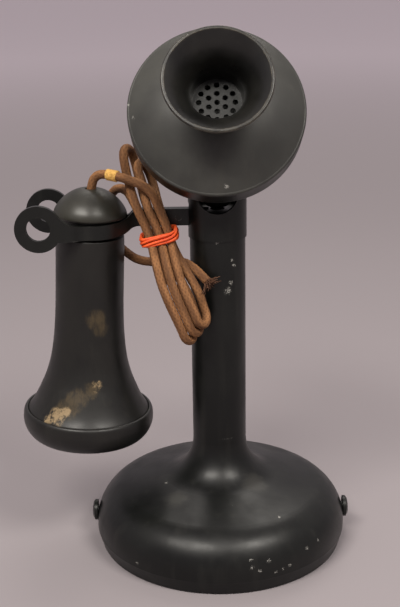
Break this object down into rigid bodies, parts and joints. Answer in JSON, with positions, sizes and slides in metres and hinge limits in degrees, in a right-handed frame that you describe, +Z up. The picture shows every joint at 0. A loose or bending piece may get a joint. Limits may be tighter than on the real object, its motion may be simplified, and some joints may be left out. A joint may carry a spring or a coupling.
{
  "type": "candlestick telephone",
  "caption": "Upright desk telephone with a domed base, column, tilting mouthpiece transmitter and a receiver hung in a forked hook lever that works a switch.",
  "frame": {"origin": "centre of the round foot, on the surface that it stands on", "axes": "+Z up the column, -Y the way the mouthpiece looks, -X the way the hook lever points"},
  "size_m": [0.1818, 0.1423, 0.2865],
  "materials": {
    "japanned_black": "worn semi-gloss japan",
    "grille_black": "worn satin",
    "mouthpiece_black": "worn hard rubber",
    "ebonite": "faded hard rubber",
    "felt": "pressed felt",
    "bare_steel": "plain",
    "iron": "as cast",
    "brass": "plain",
    "insulator": "moulded",
    "aluminium": "satin",
    "gasket_rubber": "soft",
    "coil_wire": "silk-covered wire",
    "cord_cotton": "braided cotton",
    "binding_thread": "wound thread",
    "band_rubber": "stretched"
  },
  "bodies": {
    "stand": {"base_shell": "japanned_black", "base_felt": "felt", "base_plate": "bare_steel", "base_weight": "iron", "plate_screws": "bare_steel", "base_side_screws": "japanned_black", "terminal_block": "insulator", "terminal_screws": "brass", "cord_bush": "insulator", "column_tube": "japanned_black", "column_sleeve": "brass", "column_head": "japanned_black", "tilt_screw": "japanned_black", "tilt_nut": "japanned_black", "lever_pivot_pin": "bare_steel", "lever_spacers": "brass", "fixed_contact_spring": "brass", "lever_return_spring": "bare_steel", "pile_insulators": "insulator", "switch_bracket": "bare_steel", "pile_screws": "brass"},
    "transmitter": {"transmitter_cup": "japanned_black", "faceplate": "japanned_black", "mouthpiece": "mouthpiece_black", "mouthpiece_grille": "grille_black", "transmitter_diaphragm": "aluminium", "diaphragm_gasket": "gasket_rubber", "transmitter_bridge": "bare_steel", "carbon_button": "brass", "button_nut": "brass", "transmitter_bracket": "japanned_black", "bracket_screws": "japanned_black"},
    "hook_lever": {"hook_front_leaf": "japanned_black", "hook_rear_leaf": "japanned_black", "hook_rivets": "japanned_black", "switch_cam": "insulator", "cord_hank": "cord_cotton", "cord_tail": "cord_cotton", "hank_band": "band_rubber"},
    "contact_spring": {"moving_contact_spring": "brass"},
    "receiver": {"receiver_tail_cap": "ebonite", "receiver_shell": "ebonite", "receiver_cap": "ebonite", "receiver_diaphragm": "bare_steel", "receiver_magnet": "bare_steel", "magnet_spacer": "brass", "coil_plate": "brass", "pole_pieces": "bare_steel", "receiver_coils": "coil_wire", "cord_lead": "cord_cotton", "cord_binding": "binding_thread"}
  },
  "joints": [
    {"name": "hook_lever_hinge", "type": "hinge", "parent": "stand", "child": "hook_lever", "pos_m": [0.003, 0, 0.18], "axis": [0, 1, 0], "range_deg": [0, 4.5], "stiffness_Nm_per_rad": 0.2, "springref_deg": 17.19},
    {"name": "transmitter_tilt", "type": "hinge", "parent": "stand", "child": "transmitter", "pos_m": [0, 0, 0.203], "axis": [-1, 0, 0], "range_deg": [-15, 8]},
    {"name": "receiver_lift", "type": "slide", "parent": "hook_lever", "child": "receiver", "axis": [-0.9962, 0, 0.0872], "range_m": [0, 0.06]},
    {"name": "contact_spring_bend", "type": "hinge", "parent": "stand", "child": "contact_spring", "pos_m": [0.00005, 0, 0.1145], "axis": [0, 1, 0], "range_deg": [-2.8, 0]}
  ],
  "couplings": [
    {"joint": "contact_spring_bend", "follows": "hook_lever_hinge", "ratio": -0.6}
  ]
}
